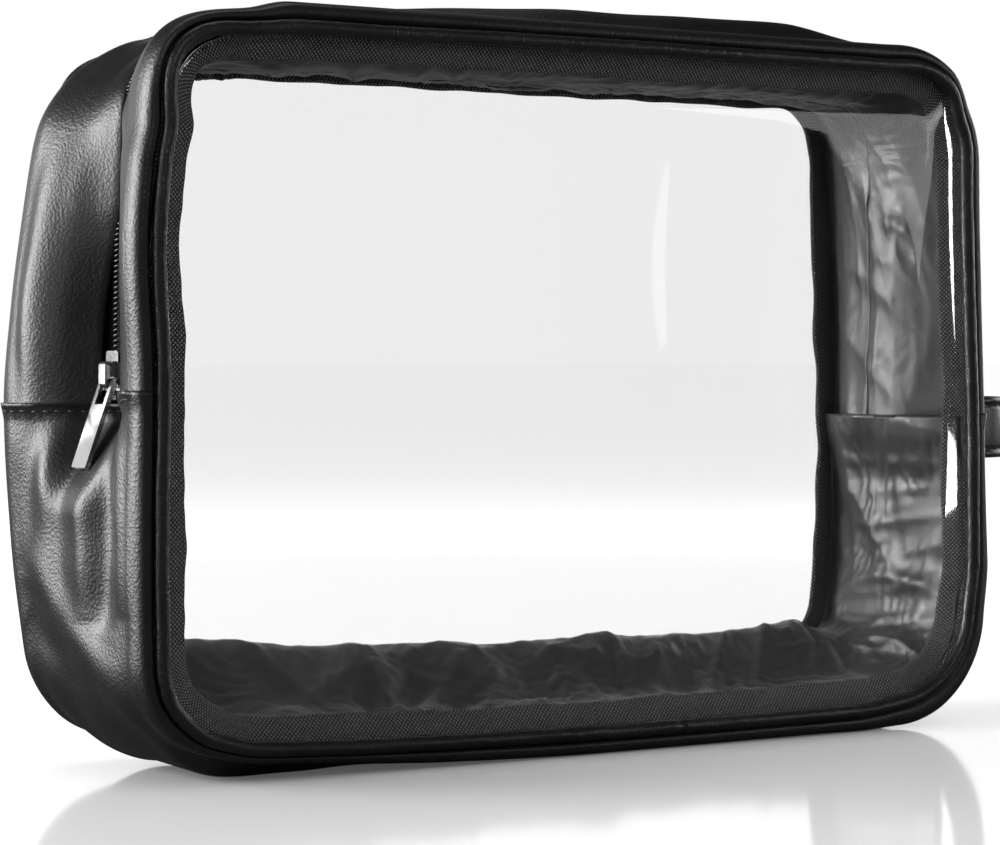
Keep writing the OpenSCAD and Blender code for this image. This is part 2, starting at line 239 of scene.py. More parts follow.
def soft_noise(a, b, seed, waves=9, lowest=6.0, highest=40.0):
    """Smooth seeded noise of about unit size over coordinates a and b, in metres."""
    rng = np.random.default_rng(seed)
    total = np.zeros(np.broadcast(a, b).shape)
    weight = 0
    for _ in range(waves):
        f = rng.uniform(lowest, highest)
        angle = rng.uniform(0, 2 * math.pi)
        phase = rng.uniform(0, 2 * math.pi)
        w = (lowest / f) ** 0.8
        total = total + w * np.sin(2 * math.pi * f * (a * math.cos(angle) + b * math.sin(angle)) + phase)
        weight += w * w
    return total / math.sqrt(weight / 2)


def wrinkles(a, b, seed, lowest, highest, count=7, angle=0.0, spread=1.2):
    """Cloth wrinkles of about unit height: local sharp-crested ridges at mixed angles."""
    rng = np.random.default_rng(seed)
    warp = soft_noise(a, b, seed + 1, waves=6, lowest=5, highest=lowest)
    total = np.zeros(np.broadcast(a, b).shape)
    for k in range(count):
        f = lowest * (highest / lowest) ** (k / max(1, count - 1))
        turn = angle + rng.uniform(-spread, spread)
        phase = 2.2 * warp + rng.uniform(0, 6)
        wave = np.sin(2 * math.pi * f * (a * math.cos(turn) + b * math.sin(turn)) + phase)
        where = smooth(-0.2, 1.1, soft_noise(a, b, seed + 10 + k, waves=5, lowest=6, highest=lowest * 0.9))
        total = total + (1 - np.abs(wave)) ** 1.6 * where * (lowest / f) ** 0.7
    return total


def curve_through(points, count):
    """A Catmull-Rom curve through control points whose coordinates may be arrays; (count, ...) each."""
    points = [np.asarray(p, float) for p in points]
    points = [2 * points[0] - points[1]] + points + [2 * points[-1] - points[-2]]
    spans = len(points) - 3
    out = []
    for i in range(count):
        t = i / (count - 1) * spans
        k = min(int(t), spans - 1)
        t -= k
        p0, p1, p2, p3 = points[k:k + 4]
        out.append(0.5 * (2 * p1 + (p2 - p0) * t + (2 * p0 - 5 * p1 + 4 * p2 - p3) * t ** 2
                          + (3 * p1 - p0 - 3 * p2 + p3) * t ** 3))
    return np.array(out)


def unit(vectors):
    return vectors / np.linalg.norm(vectors, axis=-1, keepdims=True)


def run_of(path):
    """Distance along a path at each of its points."""
    return np.concatenate([[0], np.cumsum(np.linalg.norm(np.diff(path, axis=0), axis=1))])


def read_at(at, run, values):
    """Vectors read off at distances along a path."""
    return np.stack([np.interp(at, run, values[:, k]) for k in range(3)], -1)


def stitch_run(path, outwards, first, tail, pitch=STITCH_PITCH):
    """Stitch starts along a path, with their directions and the outward vectors there."""
    run = run_of(path)
    at = np.arange(first, run[-1] - tail, pitch)
    starts = read_at(at, run, path)
    return starts, read_at(at + STITCH_STEP, run, path) - starts, read_at(at, run, outwards)


# ---------- Materials ----------

class Nodes:
    """A new node material, with a short way to add and join its nodes."""

    def __init__(self, name):
        self.material = bpy.data.materials.new(name)
        self.material.use_nodes = True
        self.tree = self.material.node_tree
        self.tree.nodes.clear()
        self.out = self.add("ShaderNodeOutputMaterial")
        self.shader = self.add("ShaderNodeBsdfPrincipled")
        self.join(self.shader.outputs["BSDF"], self.out.inputs["Surface"])

    def add(self, kind, **values):
        node = self.tree.nodes.new(kind)
        for key, value in values.items():
            if hasattr(node, key):
                setattr(node, key, value)
            else:
                node.inputs[key.replace("_", " ")].default_value = value
        return node

    def join(self, out, into):
        self.tree.links.new(out, into)

    def feed(self, socket, out):
        self.join(out, self.shader.inputs[socket])

    def set(self, **values):
        for key, value in values.items():
            self.shader.inputs[key.replace("_", " ")].default_value = value

    def place(self, scale=(1, 1, 1), uv=False):
        """Object coordinates, or the piece's UVs in metres, times scale."""
        coordinates = self.add("ShaderNodeTexCoord")
        mapping = self.add("ShaderNodeMapping")
        mapping.inputs["Scale"].default_value = scale
        self.join(coordinates.outputs["UV" if uv else "Object"], mapping.inputs["Vector"])
        return mapping.outputs["Vector"]

    def noise(self, where, scale, detail=3.0, roughness=0.55):
        node = self.add("ShaderNodeTexNoise")
        node.inputs["Scale"].default_value = scale
        node.inputs["Detail"].default_value = detail
        node.inputs["Roughness"].default_value = roughness
        self.join(where, node.inputs["Vector"])
        return node.outputs["Fac"]

    def cells(self, where, scale, feature="SMOOTH_F1"):
        node = self.add("ShaderNodeTexVoronoi", feature=feature)
        node.inputs["Scale"].default_value = scale
        self.join(where, node.inputs["Vector"])
        return node.outputs["Distance"]

    def ramp(self, fac, stops):
        node = self.add("ShaderNodeValToRGB")
        ramp = node.color_ramp
        while len(ramp.elements) < len(stops):
            ramp.elements.new(0.5)
        for element, (at, value) in zip(ramp.elements, stops):
            element.position = at
            element.color = (*value, 1) if isinstance(value, tuple) else (value, value, value, 1)
        self.join(fac, node.inputs["Fac"])
        return node.outputs["Color"]

    def span(self, fac, low, high, first=0.0, last=1.0):
        """Low to high as fac goes from first to last."""
        node = self.add("ShaderNodeMapRange")
        for key, value in (("From Min", first), ("From Max", last), ("To Min", low), ("To Max", high)):
            node.inputs[key].default_value = value
        self.join(fac, node.inputs["Value"])
        return node.outputs["Result"]

    def math(self, kind, a, b=0.0):
        node = self.add("ShaderNodeMath", operation=kind)
        for socket, value in zip(node.inputs, (a, b)):
            if isinstance(value, (int, float)):
                socket.default_value = value
            else:
                self.join(value, socket)
        return node.outputs[0]

    def switch_to(self, fac, kind, colour):
        """Puts another kind of shader in the place of the usual one as fac goes to 1."""
        other = self.add(kind)
        other.inputs["Color"].default_value = (*colour, 1)
        mix = self.add("ShaderNodeMixShader")
        self.join(fac, mix.inputs["Fac"])
        self.join(self.shader.outputs["BSDF"], mix.inputs[1])
        self.join(other.outputs["BSDF"], mix.inputs[2])
        self.join(mix.outputs["Shader"], self.out.inputs["Surface"])

    def raise_by(self, heights):
        """Chains bumps [(height output, strength, distance), ...] into the shader's normal."""
        normal = None
        for height, strength, distance in heights:
            node = self.add("ShaderNodeBump")
            node.inputs["Strength"].default_value = strength
            node.inputs["Distance"].default_value = distance
            self.join(height, node.inputs["Height"])
            if normal is not None:
                self.join(normal, node.inputs["Normal"])
            normal = node.outputs["Normal"]
        self.join(normal, self.shader.inputs["Normal"])


def leather(name, creases=0.0, rough=(0.33, 0.44), grain=0.6):
    """Black faux leather: pebble grain, faint tone changes, a satin gloss and perhaps cross wrinkles."""
    m = Nodes(name)
    where = m.place()
    tone = m.noise(where, 55, 4)
    m.feed("Base Color", m.ramp(tone, [(0.3, (0.0035, 0.0035, 0.0038)), (0.7, (0.006, 0.006, 0.0065))]))
    m.feed("Roughness", m.span(m.noise(where, 140, 3), *rough))
    m.set(Specular_IOR_Level=0.45)
    heights = [(m.cells(where, 1350), grain, 0.16 * MM), (m.noise(where, 3400, 2), grain * 0.6, 0.08 * MM)]
    if creases:
        along = m.place((1400, 260, 1), uv=True)
        heights.append((m.noise(along, 1, 2), creases, 0.25 * MM))
    m.raise_by(heights)
    return m.material


def woven(name, pitch, colours, strength=0.8):
    """A two-way weave over the piece's UVs, which are in metres. pitch is one thread's width."""
    m = Nodes(name)
    where = m.place((1, 1, 1), uv=True)
    split = m.add("ShaderNodeSeparateXYZ")
    m.join(where, split.inputs[0])
    turn = math.pi / pitch
    a = m.math("SINE", m.math("MULTIPLY", split.outputs["X"], turn))
    b = m.math("SINE", m.math("MULTIPLY", split.outputs["Y"], turn))
    knots = m.math("MAXIMUM", m.math("MULTIPLY", a, b), 0.0)
    fuzz = m.noise(m.place(), 900, 3)
    tone = m.math("ADD", m.math("MULTIPLY", knots, 0.7), m.math("MULTIPLY", fuzz, 0.3))
    m.feed("Base Color", m.ramp(tone, [(0.15, colours[0]), (0.75, colours[1])]))
    m.set(Roughness=0.75, Specular_IOR_Level=0.35)
    m.raise_by([(knots, strength, pitch * 0.35), (fuzz, 0.25, 0.05 * MM)])
    return m.material


def satin(name):
    """Dark satin lining: fine twill, a soft sheen and small cloudy tone changes."""
    m = Nodes(name)
    where = m.place()
    cloud = m.noise(where, 30, 5)
    m.feed("Base Color", m.ramp(cloud, [(0.3, (0.0055, 0.0055, 0.006)), (0.75, (0.012, 0.012, 0.013))]))
    m.set(Roughness=0.44, Specular_IOR_Level=0.5, Sheen_Weight=0.12, Sheen_Roughness=0.4)
    twill = m.add("ShaderNodeTexWave")
    twill.inputs["Scale"].default_value = 900
    twill.inputs["Distortion"].default_value = 0.6
    m.join(where, twill.inputs["Vector"])
    m.raise_by([(m.noise(where, 160, 4), 0.35, 0.5 * MM), (twill.outputs["Fac"], 0.12, 0.03 * MM)])
    return m.material


def clear_sheet(name):
    """Thin clear PVC. Lamps shine straight through it, so that they light what is inside."""
    m = Nodes(name)
    where = m.place()
    m.set(Base_Color=(0.985, 0.985, 0.985, 1), Roughness=0.02, IOR=1.46, Transmission_Weight=1.0)
    m.raise_by([(m.noise(where, 14, 2), 0.02, 2 * MM)])
    path = m.add("ShaderNodeLightPath")
    m.switch_to(path.outputs["Is Shadow Ray"], "ShaderNodeBsdfTransparent", (0.93, 0.935, 0.94))
    return m.material


def thread(name):
    m = Nodes(name)
    where = m.place()
    ply = m.add("ShaderNodeTexWave", bands_direction="DIAGONAL")
    ply.inputs["Scale"].default_value = 1400
    m.join(where, ply.inputs["Vector"])
    m.feed("Base Color", m.ramp(ply.outputs["Fac"], [(0.2, 0.006), (0.8, 0.016)]))
    m.set(Roughness=0.55)
    m.raise_by([(ply.outputs["Fac"], 0.5, 0.08 * MM)])
    return m.material


def metal(name, colour, rough):
    """Plated metal with faint wear: roughness varies in soft patches and fine scratches."""
    m = Nodes(name)
    where = m.place()
    scratches = m.noise(m.place((300, 2600, 300)), 1, 4)
    patches = m.noise(where, 260, 4)
    dull = tuple(c * 0.92 for c in colour)
    m.feed("Base Color", m.ramp(patches, [(0.3, dull), (0.7, colour)]))
    wear = m.math("ADD", m.math("MULTIPLY", scratches, 0.5), m.math("MULTIPLY", patches, 0.5))
    m.feed("Roughness", m.span(wear, *rough))
    m.set(Metallic=1.0)
    m.raise_by([(scratches, 0.05, 0.02 * MM)])
    return m.material


def coil_plastic(name):
    m = Nodes(name)
    where = m.place()
    m.feed("Base Color", m.ramp(m.noise(where, 400, 2), [(0.3, 0.008), (0.7, 0.018)]))
    m.set(Roughness=0.28, Specular_IOR_Level=0.6)
    m.raise_by([(m.noise(where, 2500, 2), 0.1, 0.04 * MM)])
    return m.material


def floor_material(name):
    """Pale floor, glossy near the bag only, its colour painted darker near the bag as shade, and dark where
    something mirrors it.
    """
    m = Nodes(name)
    m.set(Roughness=0.09, Emission_Color=(1, 1, 1, 1), Emission_Strength=0.07)
    distance = m.add("ShaderNodeVectorMath", operation="LENGTH")
    m.join(m.place(), distance.inputs[0])
    away, near = distance.outputs["Value"], 0.3
    m.feed("Specular IOR Level", m.span(away, 0.5, 0.0, near, 0.9))
    # Painted shade: the floor's colour is darker close to the bag and lightens outwards.
    m.feed("Base Color", m.span(away, 0.68, 0.91, near, 1.3))
    path = m.add("ShaderNodeLightPath")
    mirrored = m.math("MINIMUM", path.outputs["Glossy Depth"], 1.0)
    m.switch_to(mirrored, "ShaderNodeBsdfDiffuse", (0.10, 0.10, 0.10))
    return m.material


GUSSET_LEATHER = leather("gusset_leather")
PIPING_LEATHER = leather("piping_leather", creases=0.5, rough=(0.3, 0.42))
HANDLE_LEATHER = leather("handle_leather", grain=0.45)
BINDING_WEAVE = woven("binding_weave", 0.62 * MM, ((0.0035, 0.0035, 0.004), (0.13, 0.13, 0.135)), 1.0)
TAPE_WEAVE = woven("tape_weave", 0.55 * MM, ((0.005, 0.005, 0.006), (0.022, 0.022, 0.024)), 0.6)
CORD_WEAVE = woven("cord_weave", 0.6 * MM, ((0.5, 0.47, 0.4), (0.75, 0.71, 0.63)))
SATIN = satin("lining_satin")
PVC = clear_sheet("clear_pvc")
THREAD = thread("black_thread")
CHROME = metal("chrome", (0.82, 0.82, 0.84), (0.08, 0.2))
SPRING_STEEL = metal("spring_steel", (0.55, 0.55, 0.53), (0.25, 0.4))
COIL_PLASTIC = coil_plastic("coil_plastic")
FLOOR = floor_material("pale_floor")


# ---------- Shared section shapes ----------

def half_of(is_front):
    """One half's name, the plane of its seam, and the sign that points out of the bag there."""
    return ("front", FRONT_Y, -1) if is_front else ("back", BACK_Y, 1)


def fold_shares(is_front):
    """How far the leather has gone from its roll to its fold at two points on the way."""
    return (0.26, 0.62) if is_front else (0.16, 0.50)


def middle_shift(s):
    """The seam shift half way between the two windows, which the zip line takes back out."""
    return seam_shift(s, (FRONT_Y + BACK_Y) / 2)


def zip_line(s):
    """Outward offset of the zip tape, which runs straight between the two soft seams."""
    return keyed(s, TAPE_U) * MM - middle_shift(s)


def stations(left, corner, top, corner_2, right):
    """Stations along the upper run: lists of (height, value) on the sides and (share, value) between."""
    out = [(s_at_left(z * MM), v) for z, v in left]
    out += [(RUNS[3] + share * ARC, v) for share, v in corner]
    out += [(RUNS[4] + share * 2 * CX, v) for share, v in top]
    out += [(RUNS[5] + share * ARC, v) for share, v in corner_2]
    out += [(s_at_right(z * MM), v) for z, v in right]
    return out


# Outward offset of the zip tape and of the leather folds beside it, in mm from the straight seam line
TAPE_U = stations([(96, -7.6), (114, -7.6), (141, -7.9), (160, -11.4)], [(0.0, -10.6), (0.5, -7.2)],
                  [(0.0, -5.6), (0.3, -4.6), (0.7, -4.6), (1.0, -5.2)], [(0.5, -6.4)],
                  [(170, -7.4), (120, -7.6), (88, -7.6)])
FRONT_FOLD_U = stations([(96, -3.9), (112, -3.9), (124, -4.6), (136, -5.7), (150, -6.6), (165, -6.6)],
                        [(0.3, -5.6), (0.7, -3.9)], [(0.0, -3.2), (0.3, -2.4), (0.7, -2.4), (1.0, -3.2)],
                        [(0.5, -4.2)], [(170, -5.3), (120, -5.5), (88, -5.6)])
BACK_FOLD_U = stations([(96, -3.3), (112, -3.2), (124, -4.4), (136, -5.7), (150, -6.4), (165, -6.4)],
                       [(0.3, -5.6), (0.7, -4.6)], [(0.0, -3.8), (0.3, -2.4), (0.7, -2.4), (1.0, -3.2)],
                       [(0.5, -4.2)], [(170, -5.3), (120, -5.5), (88, -5.6)])
# Depth of a fold behind its own seam plane: the folds close over the zip high on the left side
FOLD_D = stations([(96, 27.4), (124, 27.4), (134, 28.2), (143, 30.4), (151, 32.5), (170.4, 32.5)],
                  [(0.25, 31.6), (0.5, 28.4)], [(0.0, 27.4), (1.0, 27.4)], [(0.5, 27.4)],
                  [(170, 27.4), (88, 27.4)])
# How far each strip swells behind its rolled edge, and how fat the rolled edge itself is
FRONT_PUFF = stations([(96, 0), (130, 0.4), (160, 1.2)], [(0.3, 0.6), (0.8, 0)],
                      [(0.06, 0.6), (0.3, 5.0), (0.5, 6.6), (0.72, 7.4), (0.84, 6.6), (0.97, 2.2)],
                      [(0.3, 0.3)], [(165, 0.0), (88, 0)])
BACK_PUFF = stations([(96, 1.4), (110, 1.8), (135, 1.4), (160, 0.4)], [(0.5, -0.6)],
                     [(0.0, 0.4), (0.12, 2.6), (0.3, 5.4), (0.55, 7.0), (0.8, 6.6), (0.93, 4.0), (1.0, 1.6)],
                     [(0.3, 0.8)], [(165, 0.6), (88, 0)])
FRONT_ROLL = loop_stations([(47, 0.85), (90, 0.62), (118, 0.55), (138, 0.8)], [(34, 1.0), (165, 1.0)],
                           [(0.45, 0.62), (0.95, 0.72), (1.25, 1.0)], [(-0.3, 1.0), (0.5, 0.92)],
                           [(160, 1.1), (84, 1.05), (31, 1.45)], [(128, 1.6), (104, 1.2), (80, 1.0)])
BACK_ROLL = loop_stations([(60, 0.9), (110, 0.6), (136, 0.85)], [(34, 1.0), (165, 1.0)],
                          [(0.5, 0.8), (1.0, 0.75), (1.3, 1.0)], [(-0.3, 1.0), (0.5, 1.0)],
                          [(160, 1.0), (84, 1.0), (31, 1.2)], [(128, 1.2), (104, 1.1), (80, 1.0)])
FRONT_ROLL[0] = BACK_ROLL[0] = (0, 1.0)
FRONT_ROLL[-1] = BACK_ROLL[-1] = (LOOP, 1.0)


def hem_slant(y):
    """The left hem climbs this much towards the front seam."""
    return 3.6 * MM * smooth(-7 * MM, -29 * MM, y)


def roll_points(s, is_front):
    """Section of the rolled edge beside the piping: (u, d) in mm."""
    fat = keyed(np.asarray(s) % LOOP, FRONT_ROLL if is_front else BACK_ROLL)
    return [(0.1 + 0 * fat, -0.3), (1.5 * fat, -1.4), (3.4 * fat, -0.9), (4.5 * fat, 1.0), (4.9 * fat, 3.6),
            (4.6 * fat, 6.8)]


def broadcast_points(points, count):
    return [np.stack([np.broadcast_to(np.asarray(u, float), (count,)),
                      np.broadcast_to(np.asarray(d, float), (count,))], -1) for u, d in points]


def section_normals(u, y):
    """Outward unit normals (u, y) of section curves that run along the last axis towards +y."""
    tu, ty = np.gradient(u, axis=-1), np.gradient(y, axis=-1)
    length = np.maximum(np.hypot(tu, ty), 1e-12)
    return ty / length, -tu / length


def arc_length(u, y):
    return np.concatenate([np.zeros(u.shape[:-1] + (1,)),
                           np.cumsum(np.hypot(np.diff(u, axis=-1), np.diff(y, axis=-1)), -1)], -1)


def closed_sweep(name, s, u, y, thickness, material, round_start=False, round_end=False):
    """A solid strip with outer curves u, y (rows by columns, +y along a row) over distances s."""
    s = np.broadcast_to(s if np.ndim(s) == 2 else np.asarray(s)[:, None], u.shape)
    nu, ny = section_normals(u, y)
    t = np.broadcast_to(thickness, u.shape)
    iu, iy = u - nu * t, y - ny * t
    run = arc_length(u, y)
    parts = [(u, y, s, run)]

    def round_off(near, far, side, end):
        for a in (0.25, 0.5, 0.75):
            bulge = side * t * math.sin(math.pi * a) / 2
            mix = (1 - math.cos(math.pi * a)) / 2
            round_u = near[0] + (far[0] - near[0]) * mix - ny * bulge
            round_y = near[1] + (far[1] - near[1]) * mix + nu * bulge
            round_run = run + t * (mix if side > 0 else mix - 1)
            parts.append([each[:, end] for each in (round_u, round_y, s, round_run)])

    if round_end:
        round_off((u, y), (iu, iy), 1, slice(-1, None))
    parts.append([each[:, ::-1] for each in (iu, iy, s, run)])
    if round_start:
        round_off((iu, iy), (u, y), -1, slice(None, 1))
    loop_u, loop_y, loop_s, loop_v = (np.concatenate(each, -1) for each in zip(*parts))
    rows, columns = loop_u.shape
    faces = grid_faces(rows, columns, wrap_columns=True).tolist()
    faces += [list(range(columns)), list(range((rows - 1) * columns, rows * columns))[::-1]]
    points = placed(loop_s, loop_u, loop_y)
    piece = mesh_piece(name, points, faces, material, np.stack([loop_s, loop_v], -1))
    return piece, placed(s, u, y)


def tube_piece(name, path, radius, material, sides, closed=False):
    """A tube along a path of points. radius may be one number or one per point of each ring."""
    count = len(path)
    tangent = unit(np.roll(path, -1, 0) - np.roll(path, 1, 0) if closed else np.gradient(path, axis=0))
    up = np.broadcast_to((0.0, 1.0, 0.0), path.shape)
    across = np.cross(tangent, up)
    across /= np.maximum(np.linalg.norm(across, axis=1, keepdims=True), 1e-9)
    up = np.cross(across, tangent)
    radius = np.broadcast_to(radius, (count, sides))
    a = np.arange(sides) / sides * 2 * math.pi
    ring = across[:, None] * np.cos(a)[None, :, None] + up[:, None] * np.sin(a)[None, :, None]
    points = path[:, None] + ring * radius[..., None]
    uv = np.stack(np.broadcast_arrays(run_of(path)[:, None], (a * np.mean(radius))[None]), -1)
    faces = grid_faces(count, sides, wrap_rows=closed, wrap_columns=True).tolist()
    if not closed:
        faces += [list(range(sides)), list(range((count - 1) * sides, count * sides))[::-1]]
    return mesh_piece(name, points, faces, material, uv)


def stitches_piece(name, runs, radius=0.27 * MM, length=2.7 * MM):
    """Separate stitches. Each run is (start points, directions, normals); ends dip under the surface."""
    sides, rings = 7, 7
    a = np.arange(sides) / sides * 2 * math.pi
    points, faces, uvs = [], [], []
    count = 0
    for starts, along, normals in runs:
        along = unit(along)
        across = unit(np.cross(along, normals))
        for p, t, n, c in zip(starts, along, normals, across):
            wobble = RNG.uniform(-0.06, 0.06, 2)
            slant = t + c * wobble[0]
            size = length * (1 + wobble[1])
            for k in range(rings):
                f = k / (rings - 1)
                rise = radius * (0.75 - 2.6 * abs(2 * f - 1) ** 4)
                centre = p + slant * size * f + n * rise
                r = radius * (1 - 0.45 * abs(2 * f - 1) ** 3)
                points.append(centre + r * (np.cos(a)[:, None] * c + np.sin(a)[:, None] * n))
                uvs.append(np.stack([np.full(sides, f * size), a * radius], -1))
            base = count
            faces += (grid_faces(rings, sides, wrap_columns=True) + base).tolist()
            faces += [list(range(base, base + sides)),
                      list(range(base + (rings - 1) * sides, base + rings * sides))[::-1]]
            count += rings * sides
    return mesh_piece(name, np.concatenate(points), faces, THREAD, np.concatenate(uvs))


def crease(y, z, path, width, depth):
    """A valley (depth below 0) or ridge along a polyline of (y, z) points in mm, easing out at its ends."""
    y, z = y / MM, z / MM
    best = np.full(np.broadcast(y, z).shape, 1e9)
    share = np.zeros_like(best)
    total = len(path) - 1
    for i in range(total):
        (y0, z0), (y1, z1) = path[i], path[i + 1]
        dy, dz = y1 - y0, z1 - z0
        t = np.clip(((y - y0) * dy + (z - z0) * dz) / (dy * dy + dz * dz), 0, 1)
        distance = np.hypot(y - y0 - t * dy, z - z0 - t * dz)
        closer = distance < best
        best = np.where(closer, distance, best)
        share = np.where(closer, (i + t) / total, share)
    ease = np.sin(np.pi * np.clip(share, 0, 1)) ** 0.5
    return depth * MM * ease * np.exp(-(best / width) ** 2)


# ---------- Upper gusset strips, zip and their stitching ----------

def strip_shape(is_front, rows_s, columns=56):
    """Outer curves of one upper strip: offset u, depth y and distance d from its seam, rows by columns."""
    _, plane, sign = half_of(is_front)
    seam = seam_shift(rows_s, plane) / MM
    fold = keyed(rows_s, FRONT_FOLD_U if is_front else BACK_FOLD_U)
    puff = keyed(rows_s, FRONT_PUFF if is_front else BACK_PUFF)
    roll = roll_points(rows_s, is_front)
    top = roll[-1][0] + seam
    share = fold_shares(is_front)
    flat = [(top + (fold - top) * share[0] + puff, 13.0), (top + (fold - top) * share[1] + puff * 0.85, 20.5),
            (fold, keyed(rows_s, FOLD_D))]
    curve = curve_through(broadcast_points([(u + seam, d) for u, d in roll] + flat, len(rows_s)), columns)
    u, d = curve[..., 0].T * MM, curve[..., 1].T * MM
    y = plane - sign * d
    return u - seam_shift(rows_s[:, None], y), y, d


def strip_ripples(is_front, s, d):
    """Soft waves across a strip, dying out at the roll and the fold."""
    seed = 11 if is_front else 23
    hold = smooth(5 * MM, 11 * MM, d) * (1 - 0.75 * smooth(20 * MM, 27 * MM, d))
    long = soft_noise(s, d, seed, lowest=7, highest=32)
    return hold * long * (0.45 if is_front else 0.75) * MM


def build_strip(is_front):
    """One upper leather strip, from its rolled edge beside the piping to its fold beside the zip."""
    label = half_of(is_front)[0]
    rows_s = np.arange(UPPER[0] - 1.5 * MM, UPPER[1] + 1.5 * MM, 1.1 * MM)
    u, y, d = strip_shape(is_front, rows_s)
    s = np.broadcast_to(rows_s[:, None], u.shape).copy()
    if is_front:
        s += hem_slant(y) * (1 - smooth(0, 30 * MM, s - UPPER[0]))
    u = u + strip_ripples(is_front, s, d)
    if not is_front:
        s, u, y, d = (each[:, ::-1] for each in (s, u, y, d))
    thickness = STRIP_T + 0.75 * MM * smooth(19 * MM, 24 * MM, d)
    piece, _ = closed_sweep(label + "_gusset_strip", s, u, y, thickness, GUSSET_LEATHER,
                            round_start=not is_front, round_end=is_front)
    claim(piece, "leather", label + "_zip_gusset")


TAPE_EDGE, CHAIN_GAP, TAPE_T = 14.6 * MM, 0.55 * MM, 0.5 * MM
TAPE_SEAM_Y = 5.15 * MM
# One turn of the coil: its pitch, its middle and half size (across the zip, outwards) and its wire
COIL_PITCH, COIL_STEPS, COIL_WIRE = 1.4 * MM, 14, 0.36 * MM
COIL_MIDDLE, COIL_HALF = (1.62 * MM, 1.08 * MM), (1.12 * MM, 0.76 * MM)


def build_tape_stitching(is_front):
    """The seam that holds a strip to its tape, seen in the gap beside the fold."""
    label, _, sign = half_of(is_front)
    rows_s = np.arange(UPPER[0] + 3 * MM, UPPER[1] - 3 * MM, 1.0 * MM)
    line = zip_line(rows_s)
    side = sign * TAPE_SEAM_Y
    path = placed(rows_s, line, side)
    starts, along, lift = stitch_run(path, placed(rows_s, line + 1 * MM, side) - path, 0, 4 * MM)
    piece = stitches_piece(label + "_tape_stitching", [(starts, along, unit(lift))], radius=0.2 * MM)
    claim(piece, "thread", label + "_zip_stitches")


def outward_at(points):
    """Rough outward directions from the bag's middle."""
    out = points - np.array([0, 0, (LOW_Z + HIGH_Z) / 2])
    out[:, 0] /= HALF_W
    out[:, 2] /= (HIGH_Z - LOW_Z) / 2
    out[:, 1] = 0
    return out


def claim(piece, slot, *nodes):
    """Rides a piece on the bag and hides the CAD nodes that it stands for; its material slot is not used."""
    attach(piece, "bag")
    if nodes:
        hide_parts(*nodes)


ZIP_ROWS = np.arange(UPPER[0] + 0.3 * MM, UPPER[1] - 0.3 * MM, 1.2 * MM)


def build_tape(is_front):
    label, _, sign = half_of(is_front)
    across = np.linspace(TAPE_EDGE, CHAIN_GAP, 14)
    u = zip_line(ZIP_ROWS)[:, None] - 0.35 * MM * smooth(6 * MM, 14 * MM, across)[None]
    y = np.broadcast_to(sign * across[None], u.shape)
    if not is_front:
        u, y = u[:, ::-1], y[:, ::-1]
    piece, _ = closed_sweep(label + "_tape", ZIP_ROWS, u, y, TAPE_T, TAPE_WEAVE)
    claim(piece, "zip_tape", label + "_zip_tape")


def build_coil(is_front):
    """A flattened spiral, whose turns look like a row of teeth."""
    label, _, sign = half_of(is_front)
    first, last = UPPER[0] + 1.5 * MM, UPPER[1] - 1.5 * MM
    turns = int((last - first) / COIL_PITCH)
    t = np.arange(turns * COIL_STEPS) / COIL_STEPS
    a = 2 * math.pi * t
    s = first + t * COIL_PITCH
    y = sign * (COIL_MIDDLE[0] + COIL_HALF[0] * np.cos(a))
    u = zip_line(s) + COIL_MIDDLE[1] + COIL_HALF[1] * np.sin(a)
    piece = tube_piece(label + "_coil", placed(s, u, y), COIL_WIRE, COIL_PLASTIC, sides=6)
    claim(piece, "zip_coil", label + "_zip_coil")


# ---------- Lower gusset, its hems and their stitching ----------

LOWER_COLUMNS = 120
# Outward offset (mm) of the flat leather, and of its middle where it dips to meet the zip
FLAT_U, DIP_U, DIP_LENGTH = 4.8, -5.2, 30


# Folds of the two ends of the lower gusset: (path of (y, height), width, height of the ridge), all in mm
LEFT_FOLDS = [([(-13, 100), (-15.5, 80), (-16.5, 62), (-15, 40)], 4.6, -2.3),
              ([(-7, 92), (-5.5, 70), (-6, 42)], 5.6, 1.3), ([(-24, 88), (-24, 66), (-25, 44)], 4.4, 0.9),
              ([(16, 96), (21, 76), (24, 52)], 5.4, -1.0), ([(22, 58), (2, 40), (-28, 22)], 5.8, 1.5),
              ([(26, 42), (6, 26), (-24, 10)], 6.0, -1.5)]
RIGHT_FOLDS = [([(14, 94), (16, 76), (15, 50)], 5.2, -1.6), ([(-14, 92), (-17, 72), (-12, 46)], 5.2, -1.7),
               ([(-20, 52), (2, 36), (26, 22)], 5.8, 1.3), ([(-24, 38), (0, 24), (24, 10)], 6.0, -1.3)]


def lower_folds(s, y):
    """Folds pressed into the lower gusset: outward offset in metres over s and depth y."""
    p, n = seam_line(s)
    z = p[..., 1]
    left = smooth(0.5, 0.9, -n[..., 0])
    right = smooth(0.5, 0.9, n[..., 0])
    folds, mirror = (sum(crease(y, z, *fold) for fold in side) for side in (LEFT_FOLDS, RIGHT_FOLDS))
    bottom = smooth(0.3, 0.9, -n[..., 1]) * soft_noise(s, y, 5, lowest=8, highest=30) * 0.5 * MM
    small = soft_noise(s, y, 9, waves=12, lowest=20, highest=70) * 0.16 * MM
    hold = smooth(0, 9 * MM, y - FRONT_Y) * smooth(0, 9 * MM, BACK_Y - y)
    return left * folds + right * mirror + (bottom + small) * hold


